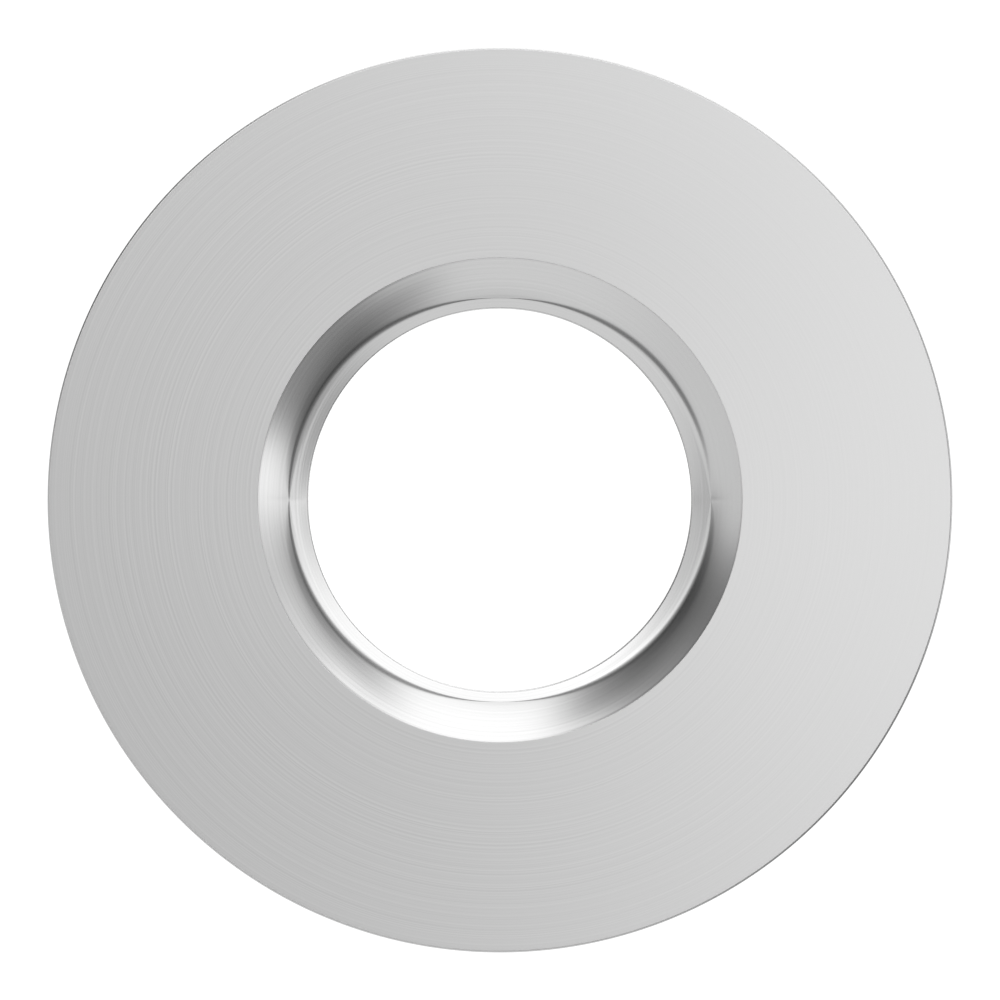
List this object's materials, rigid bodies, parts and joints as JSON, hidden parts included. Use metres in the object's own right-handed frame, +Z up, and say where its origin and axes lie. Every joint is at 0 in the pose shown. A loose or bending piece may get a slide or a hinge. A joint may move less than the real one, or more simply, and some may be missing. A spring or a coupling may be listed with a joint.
{
  "type": "wall thermostat plate",
  "caption": "Round brushed steel wall plate for a round wall thermostat, with a dished recess, an open centre and a magnetic pull-off cover.",
  "frame": {"origin": "centre of the plate on the wall plane, which is the mouth of the four wall plugs", "axes": "+Z up, the face looks along -Y, +Y runs into the wall, +X to the viewer's right"},
  "size_m": [0.1624, 0.034, 0.1624],
  "materials": {
    "brushed_stainless": "concentrically brushed stainless steel",
    "moulded_plastic": "fine spark-eroded moulding",
    "foam": "closed-cell foam",
    "stud_steel": "turned, bright",
    "bush_nylon": "natural nylon",
    "magnet_nickel": "nickel plated",
    "silicone": "matt silicone",
    "screw_zinc": "bright zinc plated",
    "washer_zinc": "bright zinc plated",
    "plug_nylon": "grey nylon"
  },
  "bodies": {
    "wall_fixings": {"wall_screw_1": "screw_zinc", "wall_screw_2": "screw_zinc", "wall_screw_3": "screw_zinc", "wall_screw_4": "screw_zinc", "screw_washer_1": "washer_zinc", "screw_washer_2": "washer_zinc", "screw_washer_3": "washer_zinc", "screw_washer_4": "washer_zinc", "wall_plug_1": "plug_nylon", "wall_plug_2": "plug_nylon", "wall_plug_3": "plug_nylon", "wall_plug_4": "plug_nylon"},
    "base": {"mounting_ring": "moulded_plastic", "wall_seal_outer": "foam", "wall_seal_inner": "foam", "stud_bush_1": "bush_nylon", "stud_bush_2": "bush_nylon", "magnet_1": "magnet_nickel", "magnet_2": "magnet_nickel", "magnet_3": "magnet_nickel", "magnet_4": "magnet_nickel", "magnet_5": "magnet_nickel", "magnet_6": "magnet_nickel", "magnet_7": "magnet_nickel", "magnet_8": "magnet_nickel", "face_pad_1": "silicone", "face_pad_2": "silicone", "face_pad_3": "silicone", "face_pad_4": "silicone"},
    "cover": {"face_ring": "brushed_stainless", "locating_stud_1": "stud_steel", "locating_stud_2": "stud_steel"}
  },
  "joints": [
    {"name": "levelling_turn", "type": "hinge", "parent": "wall_fixings", "child": "base", "pos_m": [0, 0, 0], "axis": [0, -1, 0], "range_deg": [-5, 5]},
    {"name": "cover_pull_off", "type": "slide", "parent": "base", "child": "cover", "axis": [0, -1, 0], "range_m": [0, 0.03]}
  ]
}
